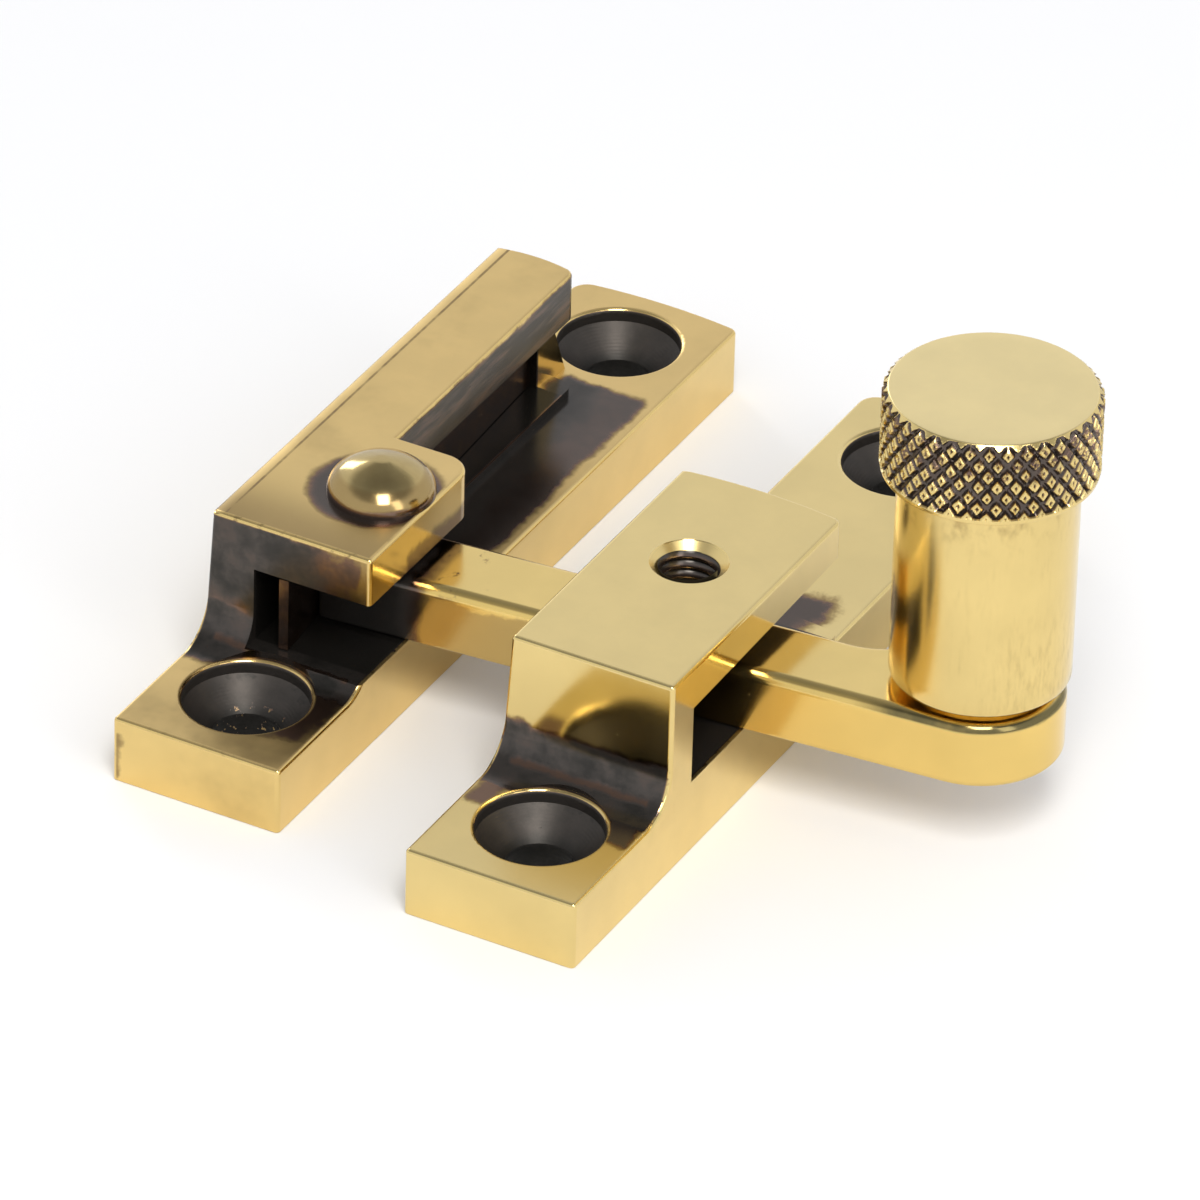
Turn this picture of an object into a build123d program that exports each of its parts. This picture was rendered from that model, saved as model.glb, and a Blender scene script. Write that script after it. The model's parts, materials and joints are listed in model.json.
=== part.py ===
from build123d import *
import math
import os

# Narrow sash hook fastener in cast brass, in two halves that lie side by side.
# The base half carries a swinging hook arm with a tall knob; the other half is the
# C-shaped keep that the arm hooks into.
# Frame: +Z up, plates' undersides at Z = 0, plates' length along Y, arm along +X.
# The origin is midway between the base plate's two screw holes, on its underside.
# All dimensions are in millimetres.

# ---- driving dimensions: both castings ------------------------------------------------
plate_width = 13.0
screw_pitch = 52.8            # between the two fixing screws of either plate
slot_floor_z = 5.6            # the milled arm slot starts this high in both castings
cove_radius = 3.0             # where a plate runs up into its block
end_bow = 0.5                 # the cast ends bow outwards by this much
left_draft = 0.6              # lean of the blocks' left faces over their height
edge_soft = 0.3               # worn outer edges
plate_left_corner = 1.5       # upright corners of a plate's far end
plate_right_corner = 0.6
seat_radius = 4.4             # counterbore of a fixing hole
seat_depth = 1.0
screw_hole_radius = 2.4
rim_soft = 0.35

# ---- driving dimensions: base ---------------------------------------------------------
base_length = 66.0
base_thickness = 5.0
base_height = 15.1
base_screw_margin = 6.85      # front end of the plate to the front screw
block_setback = 12.25         # front end of the plate to the front face of the block
roof_length = 14.55           # block roof over the arm, along Y
roof_corner = 2.0
bar_length = 40.25            # block front to the far end of the long bar
bar_width = 6.9
bar_left_corner = 1.2
bar_right_corner = 0.9
slot_roof_z = 11.4
left_wall = 3.9               # solid wall left of the slot
web_width = 4.9               # wall that closes the left of the slot under the bar's end
web_depth = 2.1
foot_length = 2.1             # sloping foot of the web beyond the bar's end
foot_setback = 0.6            # top of the foot, inside the bar's end

# ---- driving dimensions: keep ---------------------------------------------------------
keep_length = 66.9
keep_thickness = 5.1
keep_height = 14.9
keep_screw_margin = 7.0
keep_centre_x = 24.85
keep_lead = 3.77              # the keep's front end stands this far ahead of the base's
post_setback = 13.2
post_thickness = 3.0
keep_roof_length = 24.65      # post front to the roof's free end
keep_left_corner = 1.4
keep_right_corner = 0.7
keep_slot_top_front = 11.6    # the roof's underside rises a little towards its free end
keep_slot_top_back = 12.05
keep_lip_length = 0.9         # the underside lifts more steeply at the free end
keep_lip_rise = 1.2
lock_hole_radius = 2.15       # M5 tapping for a locking screw
lock_hole_from_front = 27.4
lock_hole_chamfer = 0.6

# ---- driving dimensions: pivot --------------------------------------------------------
pivot_x = 2.72                # pivot centre, right of the plate's centre line
pivot_setback = 20.35         # front end of the base plate to the pivot
pin_radius = 2.0
running_gap = 0.05
rivet_head_radius = 3.8
rivet_head_height = 2.55
rivet_dome = [(1.0, 0.0), (0.86, 0.5), (0.51, 0.83), (0.23, 0.96), (0.0, 1.0)]  # shares
rivet_foot_spread = 1.2       # the foot is spread into a countersink this much wider
rivet_foot_depth = 1.2
washer_radius = 3.1

# ---- driving dimensions: arm and spring -----------------------------------------------
arm_bottom_z = 5.7
arm_thickness = 4.9
arm_half_width = 3.25
arm_inner_reach = 3.28        # pivot to the squared inner end
arm_inner_corner = 0.5
arm_reach = 43.2              # pivot to the knob, along the arm
arm_boss_radius = 5.97
arm_neck_radius = 5.0         # where the boss swells from the arm's rear edge
arm_rest_angle = 5.05         # the arm lies this far past square to the plates
arm_top_edge = 0.8
arm_bottom_edge = 0.3

spring_thickness = 0.7
spring_gap = 0.03             # between the strip and the arm's squared end
spring_flat = 6.0             # straight stretch that bears on the arm
spring_bend_radius = 20.0
spring_slit_inset = 0.9       # slit in the web, from the web's right side
spring_slit_depth = 1.6
spring_run_in = 1.5           # straight stretch before the slit
spring_side_gap = 0.1         # above and below the strip

# ---- driving dimensions: knob and its screw -------------------------------------------
knob_seat_radius = 4.2
knob_seat_height = 0.8
knob_shaft_radius = 6.22
knob_shaft_edge = 0.3
knob_head_radius = 7.45
knob_head_height = 6.25
knob_head_bottom_edge = 0.45
knob_head_top_edge = 0.4
knob_top_z = 33.75
knob_screw_radius = 2.0
knob_screw_head_radius = 3.9
knob_screw_reach = 8.0        # length of screw inside the knob
knob_screw_end_gap = 1.0      # the tapped hole is this much deeper than the screw
knob_screw_side_gap = 0.2     # between the screw and its hole in the arm
knob_screw_head_gap = 0.1
knob_screw_sink = 0.2         # the screw's head stops short of the arm's underside
driver_slot_width = 1.0
driver_slot_depth = 0.8

# ---- construction margins -------------------------------------------------------------
past = 1.0                    # cuts run this far past the faces they open
joined = 0.2                  # pieces of one casting run this far into each other
near = 0.01                   # two places closer than this are the same

# ---- derived places -------------------------------------------------------------------
half_width = plate_width / 2
base_front_y = -screw_pitch / 2 - base_screw_margin
base_back_y = base_front_y + base_length
block_front_y = base_front_y + block_setback
roof_back_y = block_front_y + roof_length
bar_end_y = block_front_y + bar_length
bar_right_x = -half_width + bar_width
foot_end_y = bar_end_y + foot_length
slot_left_x = -half_width + left_wall
web_right_x = -half_width + web_width
web_front_y = bar_end_y - web_depth
pivot_y = base_front_y + pivot_setback

keep_front_y = base_front_y - keep_lead
keep_back_y = keep_front_y + keep_length
keep_centre_y = keep_front_y + keep_screw_margin + screw_pitch / 2
post_front_y = keep_front_y + post_setback
keep_roof_end_y = post_front_y + keep_roof_length
lock_hole_y = keep_front_y + lock_hole_from_front

arm_top_z = arm_bottom_z + arm_thickness
arm_place = Pos(pivot_x, pivot_y, 0) * Rot(0, 0, arm_rest_angle)
knob_offset = pivot_x         # puts the knob over the plate's centre line when folded back
knob_place = arm_place * Pos(arm_reach, knob_offset, 0)
knob_shaft_bottom_z = arm_top_z + knob_seat_height
knob_head_bottom_z = knob_top_z - knob_head_height


def box_between(low, high):
    """Box from its lowest to its highest corner."""
    size = [high[i] - low[i] for i in range(3)]
    centre = [(high[i] + low[i]) / 2 for i in range(3)]
    return Pos(*centre) * Box(*size)


def prism_x(points, low_x, high_x):
    """Prism along X over a polygon given as (y, z) points."""
    outline = Polyline(*[(0, y, z) for y, z in points], close=True)
    return Pos(low_x, 0, 0) * extrude(make_face(outline), high_x - low_x, dir=(1, 0, 0))


def bowed_block(low, high, left_corner, right_corner):
    """Box whose far end bows outwards between two rounded upright corners."""
    low_x, front_y, low_z = low
    high_x, end_y, high_z = high
    shoulder_y = end_y - end_bow
    outline = [
        Polyline((low_x, shoulder_y), (low_x, front_y), (high_x, front_y), (high_x, shoulder_y)),
        ThreePointArc((high_x, shoulder_y), ((low_x + high_x) / 2, end_y), (low_x, shoulder_y)),
    ]
    block = Pos(0, 0, low_z) * extrude(make_face(outline), high_z - low_z)
    left_upright = block.edges().filter_by(Axis.Z).sort_by(Axis.Y)[-2:].sort_by(Axis.X)[0]
    block = fillet(left_upright, left_corner)
    uprights = block.edges().filter_by(Axis.Z).filter_by_position(Axis.X, high_x - near, high_x + near)
    return fillet(uprights.sort_by(Axis.Y)[-1], right_corner)


def cove(low_x, high_x, face_y, plate_z):
    """Concave cove where a plate's top meets an upright face behind it."""
    centre_y = face_y - cove_radius
    centre_z = plate_z + cove_radius
    block = box_between((low_x, centre_y, plate_z - joined), (high_x, face_y + joined, centre_z))
    hollow = Cylinder(cove_radius, high_x - low_x + 2 * past, rotation=(0, 90, 0))
    above = box_between(
        (low_x - past, centre_y - cove_radius, centre_z), (high_x + past, face_y, centre_z + cove_radius)
    )
    return block - Pos((low_x + high_x) / 2, centre_y, centre_z) * hollow - above


def screw_seat(x, y, plate_z):
    """Counterbored and countersunk fixing hole, as the solid to cut away."""
    cone_top_z = plate_z - seat_depth
    cone_bottom_z = cone_top_z - (seat_radius - screw_hole_radius)
    clear_z = plate_z + base_height
    rim = seat_radius + rim_soft
    rim_z = plate_z - rim_soft
    bow = rim_soft * math.sqrt(0.5)
    profile = [
        Polyline(
            (rim, 0, plate_z), (rim, 0, clear_z), (0, 0, clear_z), (0, 0, -past),
            (screw_hole_radius, 0, -past), (screw_hole_radius, 0, cone_bottom_z),
            (seat_radius, 0, cone_top_z), (seat_radius, 0, rim_z),
        ),
        ThreePointArc((seat_radius, 0, rim_z), (rim - bow, 0, rim_z + bow), (rim, 0, plate_z)),
    ]
    return Pos(x, y, 0) * revolve(make_face(profile), Axis.Z)


def left_wedge(front_y, end_y, plate_z, top_z):
    """Sliver that leans a block's left face inwards towards its top."""
    low_x = -half_width
    points = [(low_x - past, plate_z), (low_x, plate_z), (low_x + left_draft, top_z), (low_x - past, top_z)]
    outline = Polyline(*[(x, 0, z) for x, z in points], close=True)
    start_y = front_y - cove_radius - past
    return Pos(0, start_y, 0) * extrude(make_face(outline), end_y + past - start_y, dir=(0, 1, 0))


def soften(part, radius, test):
    """Round the outward edges that pass a test."""
    edges = [edge for edge in part.edges() if not edge.is_interior and test(edge)]
    return fillet(edges, radius)


def edge_is_worn(edge, plate_z, top_z, face_y, right_corner_z):
    """Edges round a plate's top and a block's top, up the plate's ends and up the block's front corners."""
    low, high = edge.bounding_box().min, edge.bounding_box().max
    on_plate_top = abs(low.Z - plate_z) < near and abs(high.Z - plate_z) < near
    up_plate_end = low.Z < near and abs(high.Z - plate_z) < near
    on_block_top = low.Z > top_z - near
    up_left_corner = high.X < -half_width + left_draft + near and high.Z > plate_z + near
    up_right_corner = low.X > half_width - near and high.Z > right_corner_z + near
    up_front_corner = (up_left_corner or up_right_corner) and high.Y < face_y + near
    return on_plate_top or up_plate_end or on_block_top or up_front_corner


def base_edge_is_worn(edge):
    """Outer edges of the base, leaving the milled slot and the underside crisp."""
    return edge_is_worn(edge, base_thickness, base_height, block_front_y, slot_roof_z)


def keep_edge_is_worn(edge):
    """Outer edges of the keep, leaving the slot and the underside crisp."""
    return edge_is_worn(edge, keep_thickness, keep_height, post_front_y, keep_thickness)


def make_spring_strip(low_z, high_z):
    """Leaf spring on edge: flat on the arm's squared end, then bowed back into the web."""
    centre = -arm_inner_reach - spring_gap - spring_thickness / 2
    start = (arm_place * Pos(centre, 0, 0)).position
    step = (arm_place * Pos(centre, 1, 0)).position - start
    front = start + step * ((block_front_y - start.Y) / step.Y)
    bend = start + step * spring_flat
    slit_x = web_right_x - spring_slit_inset
    near_web = Vector(slit_x, web_front_y - spring_run_in)
    tail = Vector(slit_x, web_front_y + spring_slit_depth)
    points = [(place.X, place.Y) for place in (front, bend, near_web, tail)]
    path = FilletPolyline(*points, radius=spring_bend_radius)
    return Pos(0, 0, low_z) * extrude(trace(path, spring_thickness), high_z - low_z)


def rivet_foot():
    """Countersink under the base that the rivet's foot is spread into."""
    foot = Cone(pin_radius + rivet_foot_spread, pin_radius, rivet_foot_depth)
    return Pos(pivot_x, pivot_y, rivet_foot_depth / 2) * foot


def make_base():
    """Plate, L-shaped block with the arm's slot, and the web that closes the bar's end."""
    plate = bowed_block(
        (-half_width, base_front_y, 0), (half_width, base_back_y, base_thickness),
        plate_left_corner, plate_right_corner,
    )
    roof = box_between((-half_width, block_front_y, base_thickness), (half_width, roof_back_y, base_height))
    roof = fillet(roof.edges().filter_by(Axis.Z).sort_by(Axis.Y)[-2:].sort_by(Axis.X)[-1], roof_corner)
    bar = bowed_block(
        (-half_width, block_front_y, base_thickness), (bar_right_x, bar_end_y, base_height),
        bar_left_corner, bar_right_corner,
    )
    foot = prism_x(
        [
            (web_front_y, base_thickness - joined), (foot_end_y, base_thickness - joined),
            (foot_end_y, base_thickness), (bar_end_y - foot_setback, slot_roof_z), (web_front_y, slot_roof_z),
        ],
        -half_width, web_right_x,
    )
    casting = plate + roof + bar + foot
    casting += cove(-half_width, half_width, block_front_y, base_thickness)
    casting -= left_wedge(block_front_y, foot_end_y, base_thickness, base_height)

    right_x = half_width + past
    casting -= box_between(
        (slot_left_x, block_front_y - cove_radius, slot_floor_z), (right_x, web_front_y, slot_roof_z)
    )
    casting -= box_between(
        (web_right_x, web_front_y - past, slot_floor_z), (right_x, foot_end_y + past, slot_roof_z)
    )
    casting -= box_between((bar_right_x, roof_back_y, base_thickness), (right_x, web_front_y, slot_floor_z))
    casting = soften(casting, edge_soft, base_edge_is_worn)

    for end in (-1, 1):
        casting -= screw_seat(0, end * screw_pitch / 2, base_thickness)
    casting -= make_spring_strip(slot_floor_z, slot_roof_z)
    bore = Pos(pivot_x, pivot_y, base_height / 2) * Cylinder(pin_radius, base_height + 2 * past)
    return casting - bore - rivet_foot()


def make_pivot_rivet():
    """Domed head on the roof, shank down through the arm, and a spread foot under the plate."""
    points = [(share * rivet_head_radius, 0, rise * rivet_head_height) for share, rise in rivet_dome]
    head = [
        Line((0, 0, 0), points[0]),
        Spline(*points, tangents=[(0, 0, 1), (-1, 0, 0)]),
        Line(points[-1], (0, 0, 0)),
    ]
    dome = Pos(pivot_x, pivot_y, base_height) * revolve(make_face(head), Axis.Z)
    shank = Pos(pivot_x, pivot_y, base_height / 2) * Cylinder(pin_radius, base_height)
    return dome + shank + rivet_foot()


def make_pivot_washer():
    """Thin washer that takes up the play between the arm and the slot's roof."""
    thickness = slot_roof_z - arm_top_z - 2 * running_gap
    ring = Cylinder(washer_radius, thickness) - Cylinder(pin_radius + running_gap, thickness)
    return Pos(pivot_x, pivot_y, slot_roof_z - thickness / 2) * ring


def arm_outline():
    """Squared inner end, straight front edge, and a round boss that swells to the rear."""
    shank_centre = (arm_reach - arm_inner_reach) / 2
    shank = Pos(shank_centre, 0) * Rectangle(arm_reach + arm_inner_reach, 2 * arm_half_width)
    boss = Pos(arm_reach, knob_offset) * Circle(arm_boss_radius)
    outline = shank + boss
    outline = fillet(outline.vertices().sort_by(Axis.X)[:2], arm_inner_corner)
    rear = [v for v in outline.vertices() if v.X > arm_reach / 2 and abs(v.Y - arm_half_width) < near]
    return fillet(rear, arm_neck_radius)


def knob_screw_head(spare):
    """Countersunk head in the arm's underside, drawn about the Z axis."""
    radius = knob_screw_head_radius + spare
    depth = radius - knob_screw_radius
    return Pos(0, 0, arm_bottom_z + depth / 2) * Cone(radius, knob_screw_radius, depth)


def make_arm():
    """Flat bar with softened edges, bored for the pivot at one end and the knob's screw at the other."""
    bar = Pos(0, 0, arm_bottom_z) * extrude(arm_outline(), arm_thickness)
    bar = fillet(bar.edges().group_by(Axis.Z)[-1], arm_top_edge)
    bar = fillet(bar.edges().group_by(Axis.Z)[0], arm_bottom_edge)
    middle_z = arm_bottom_z + arm_thickness / 2
    through = arm_thickness + 2 * past
    bar -= Pos(0, 0, middle_z) * Cylinder(pin_radius + running_gap, through)
    bar -= Pos(arm_reach, knob_offset, middle_z) * Cylinder(knob_screw_radius + knob_screw_side_gap, through)
    bar -= Pos(arm_reach, knob_offset, 0) * knob_screw_head(knob_screw_head_gap)
    return arm_place * bar


def make_knob_screw():
    """Slotted countersunk screw that holds the knob from under the arm."""
    top_z = knob_shaft_bottom_z + knob_screw_reach
    bottom_z = arm_bottom_z + knob_screw_sink
    shank = Pos(0, 0, (bottom_z + top_z) / 2) * Cylinder(knob_screw_radius, top_z - bottom_z)
    slot_low = (-knob_screw_head_radius - past, -driver_slot_width / 2, arm_bottom_z - past)
    slot_high = (knob_screw_head_radius + past, driver_slot_width / 2, arm_bottom_z + driver_slot_depth)
    return knob_place * (shank + knob_screw_head(0) - box_between(slot_low, slot_high))


def make_knob():
    """Turned knob: narrow seat, tall plain shaft and a wider head, tapped from below."""
    shaft, head, top_z = knob_shaft_radius, knob_head_radius, knob_top_z
    profile = Polyline(
        (0, 0, arm_top_z), (knob_seat_radius, 0, arm_top_z), (knob_seat_radius, 0, knob_shaft_bottom_z),
        (shaft - knob_shaft_edge, 0, knob_shaft_bottom_z), (shaft, 0, knob_shaft_bottom_z + knob_shaft_edge),
        (shaft, 0, knob_head_bottom_z), (head - knob_head_bottom_edge, 0, knob_head_bottom_z),
        (head, 0, knob_head_bottom_z + knob_head_bottom_edge), (head, 0, top_z - knob_head_top_edge),
        (head - knob_head_top_edge, 0, top_z), (0, 0, top_z),
        close=True,
    )
    hole_top_z = knob_shaft_bottom_z + knob_screw_reach + knob_screw_end_gap
    hole = Pos(0, 0, (arm_bottom_z + hole_top_z) / 2) * Cylinder(knob_screw_radius, hole_top_z - arm_bottom_z)
    return knob_place * (revolve(make_face(profile), Axis.Z) - hole)


def make_keep():
    """Plate and C-shaped block: front post, roof with the locking-screw hole, open at the back."""
    plate = bowed_block(
        (-half_width, keep_front_y, 0), (half_width, keep_back_y, keep_thickness),
        plate_left_corner, plate_right_corner,
    )
    block = bowed_block(
        (-half_width, post_front_y, keep_thickness), (half_width, keep_roof_end_y, keep_height),
        keep_left_corner, keep_right_corner,
    )
    casting = plate + block
    casting += cove(-half_width, half_width, post_front_y, keep_thickness)
    casting -= left_wedge(post_front_y, keep_roof_end_y, keep_thickness, keep_height)

    slot_front_y = post_front_y + post_thickness
    lip_y = keep_roof_end_y - keep_lip_length
    casting -= prism_x(
        [
            (slot_front_y, slot_floor_z), (keep_roof_end_y + past, slot_floor_z),
            (keep_roof_end_y + past, keep_slot_top_back + keep_lip_rise),
            (lip_y, keep_slot_top_back), (slot_front_y, keep_slot_top_front),
        ],
        -half_width - past, half_width + past,
    )
    casting = soften(casting, edge_soft, keep_edge_is_worn)

    for end in (-1, 1):
        casting -= screw_seat(0, keep_centre_y + end * screw_pitch / 2, keep_thickness)
    hole = Cylinder(lock_hole_radius, 2 * (keep_height - keep_slot_top_front + past))
    chamfer = Cone(lock_hole_radius, lock_hole_radius + lock_hole_chamfer, lock_hole_chamfer)
    casting -= Pos(0, lock_hole_y, keep_height) * hole
    casting -= Pos(0, lock_hole_y, keep_height - lock_hole_chamfer / 2) * chamfer
    return Pos(keep_centre_x, 0, 0) * casting


nodes = {
    "base": make_base(),
    "leaf_spring": make_spring_strip(slot_floor_z + spring_side_gap, slot_roof_z - spring_side_gap),
    "pivot_rivet": make_pivot_rivet(),
    "pivot_washer": make_pivot_washer(),
    "hook_arm": make_arm(),
    "knob": make_knob(),
    "knob_screw": make_knob_screw(),
    "keep": make_keep(),
}

os.makedirs("parts", exist_ok=True)
for name, solid in nodes.items():
    export_step(solid, f"parts/{name}.step")
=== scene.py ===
import bpy
import json
import math
from mathutils import Matrix, Vector


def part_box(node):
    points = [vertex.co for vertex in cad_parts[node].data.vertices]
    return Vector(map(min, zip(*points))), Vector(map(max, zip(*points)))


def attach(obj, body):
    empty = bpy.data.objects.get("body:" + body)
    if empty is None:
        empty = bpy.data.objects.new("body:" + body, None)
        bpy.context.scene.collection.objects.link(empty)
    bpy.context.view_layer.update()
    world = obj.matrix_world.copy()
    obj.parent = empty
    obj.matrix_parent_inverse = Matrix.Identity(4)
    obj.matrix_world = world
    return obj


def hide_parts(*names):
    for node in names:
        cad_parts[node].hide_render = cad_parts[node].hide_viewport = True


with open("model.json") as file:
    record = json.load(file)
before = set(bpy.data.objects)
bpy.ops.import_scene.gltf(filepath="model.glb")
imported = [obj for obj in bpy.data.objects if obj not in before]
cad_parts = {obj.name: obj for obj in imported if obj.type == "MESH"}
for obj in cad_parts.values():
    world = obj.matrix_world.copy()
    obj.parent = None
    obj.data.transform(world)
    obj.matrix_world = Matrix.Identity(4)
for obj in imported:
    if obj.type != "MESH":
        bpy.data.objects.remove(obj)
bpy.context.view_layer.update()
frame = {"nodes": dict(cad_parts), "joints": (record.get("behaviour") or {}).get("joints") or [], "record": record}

# Sash window hook fastener: two brass castings, a hook arm and a tall knurled knob.
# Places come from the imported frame, in metres. Materials work in millimetres of the same frame.
MM = 0.001
nodes = frame["nodes"]
record = frame["record"]
mounts = {mount["name"]: mount for mount in record["mounts"]}
arm_swing = next(joint for joint in frame["joints"] if joint["name"] == "arm_swing")


def in_mm(point):
    return [coordinate / MM for coordinate in point]


def node_box(name):
    low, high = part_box(name)
    return in_mm(low), in_mm(high)


base_low, base_high = node_box("base")
keep_low, keep_high = node_box("keep")
knob_low, knob_high = node_box("knob")
arm_low, arm_high = node_box("hook_arm")
pivot = in_mm(arm_swing["pos_m"])
arm_rest_angle = -math.radians(arm_swing["range_deg"][0])
knob_x, knob_y = [(knob_low[i] + knob_high[i]) / 2 for i in range(2)]
knob_head_radius = (knob_high[0] - knob_low[0]) / 2
knob_reach = math.hypot(knob_x - pivot[0], knob_y - pivot[1])
lock_place = in_mm(mounts["locking_screw_hole"]["pos_m"])
lock_radius = mounts["locking_screw_hole"]["dims"]["r_mm"]

# Features of the castings and the knob, in millimetres from the frame's boxes.
base_plate_z = 5.0
base_block_y = base_low[1] + 12.25
base_roof_end_y = base_block_y + 14.55
base_bar_end_y = base_block_y + 40.25
base_bar_x = base_low[0] + 6.9
slot_left_x = base_low[0] + 3.9
slot_floor_z = 5.6
slot_roof_z = 11.4
keep_plate_z = 5.1
keep_post_y = keep_low[1] + 13.2
keep_slot_y = keep_post_y + 3.0
keep_roof_end_y = keep_post_y + 24.65
keep_slot_top_z = 11.9
cove_radius = 3.0
seat_radius = 4.4
knob_head_z = knob_high[2] - 6.25
knob_shaft_radius = knob_head_radius - 1.23
knob_seat_radius = knob_head_radius - 3.25
knob_seat_height = 0.8


# ---- camera, floor and light ----------------------------------------------------------

def make_camera():
    """Long lens above the front right corner, a little rolled."""
    azimuth, elevation, roll = [math.radians(angle) for angle in (27.81, 33.31, 1.68)]
    target = Vector((0.01506, -0.00386, 0.0052))
    distance = 0.855
    level = math.cos(elevation)
    back = Vector((math.sin(azimuth) * level, -math.cos(azimuth) * level, math.sin(elevation)))
    right = Vector((math.cos(azimuth), math.sin(azimuth), 0))
    up = back.cross(right)
    rolled_right = math.cos(roll) * right + math.sin(roll) * up
    rolled_up = math.cos(roll) * up - math.sin(roll) * right
    data = bpy.data.cameras.new("camera")
    data.sensor_width = 36
    data.lens = 372.6
    data.clip_start, data.clip_end = 0.01, 20
    camera = bpy.data.objects.new("camera", data)
    turn = Matrix((rolled_right, rolled_up, back)).transposed().to_4x4()
    camera.matrix_world = Matrix.Translation(target + distance * back) @ turn
    bpy.context.scene.collection.objects.link(camera)
    bpy.context.scene.camera = camera


def make_area_light(name, place, size, power, colour):
    """Softbox aimed at the object."""
    data = bpy.data.lights.new(name, "AREA")
    data.shape = "RECTANGLE"
    data.size, data.size_y = size
    data.energy = power
    data.color = colour
    light = bpy.data.objects.new(name, data)
    light.location = place
    aim = Vector((0.02, 0, 0.01)) - Vector(place)
    light.rotation_mode = "QUATERNION"
    light.rotation_quaternion = aim.to_track_quat("-Z", "Y")
    bpy.context.scene.collection.objects.link(light)


def set_stops(ramp, stops):
    """Fills a colour ramp node with (position, colour) stops."""
    elements = ramp.color_ramp.elements
    while len(elements) < len(stops):
        elements.new(0.5)
    for element, (position, colour) in zip(elements, stops):
        element.position = position
        element.color = (*colour, 1)


# Brightness of the room against height: 0 is straight down, 0.5 the horizon, 1 straight up.
ROOM_STOPS = [
    (0.0, (0.90, 0.92, 0.95)),
    (0.58, (0.88, 0.90, 0.95)),
    (0.80, (0.34, 0.35, 0.37)),
    (1.0, (0.24, 0.25, 0.27)),
]


def make_room():
    """Room that is bright near the horizon, as with white walls, and dimmer above."""
    world = bpy.data.worlds.new("room")
    world.use_nodes = True
    tree = world.node_tree
    background = tree.nodes["Background"]
    direction = tree.nodes.new("ShaderNodeTexCoord")
    parts = tree.nodes.new("ShaderNodeSeparateXYZ")
    ramp = tree.nodes.new("ShaderNodeValToRGB")
    tree.links.new(direction.outputs["Generated"], parts.inputs[0])
    tree.links.new(parts.outputs["Z"], ramp.inputs["Fac"])
    tree.links.new(ramp.outputs["Color"], background.inputs["Color"])
    ramp.color_ramp.interpolation = "EASE"
    set_stops(ramp, ROOM_STOPS)
    return world


def make_studio():
    """White table top in a bright room, with three softboxes."""
    scene = bpy.context.scene
    scene.view_settings.view_transform = "Standard"
    scene.world = make_room()

    bpy.ops.mesh.primitive_plane_add(size=3.0, location=(0, 0, -0.00005))
    floor = bpy.context.object
    floor.name = "floor"
    paper = bpy.data.materials.new("white_table")
    paper.use_nodes = True
    shader = paper.node_tree.nodes["Principled BSDF"]
    shader.inputs["Base Color"].default_value = (0.93, 0.925, 0.92, 1)
    shader.inputs["Roughness"].default_value = 0.9
    shader.inputs["Specular IOR Level"].default_value = 0.1
    floor.data.materials.append(paper)

    make_area_light("front_box", (0.24, -0.33, 0.60), (0.24, 0.36), 2.9, (1.0, 0.985, 0.96))
    make_area_light("window", (-0.60, 0.42, 0.29), (0.14, 0.34), 0.8, (0.97, 0.985, 1.0))
    make_area_light("right_box", (0.68, -0.30, 0.42), (0.24, 0.6), 1.05, (1.0, 0.98, 0.95))


# ---- node graphs ----------------------------------------------------------------------

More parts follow.
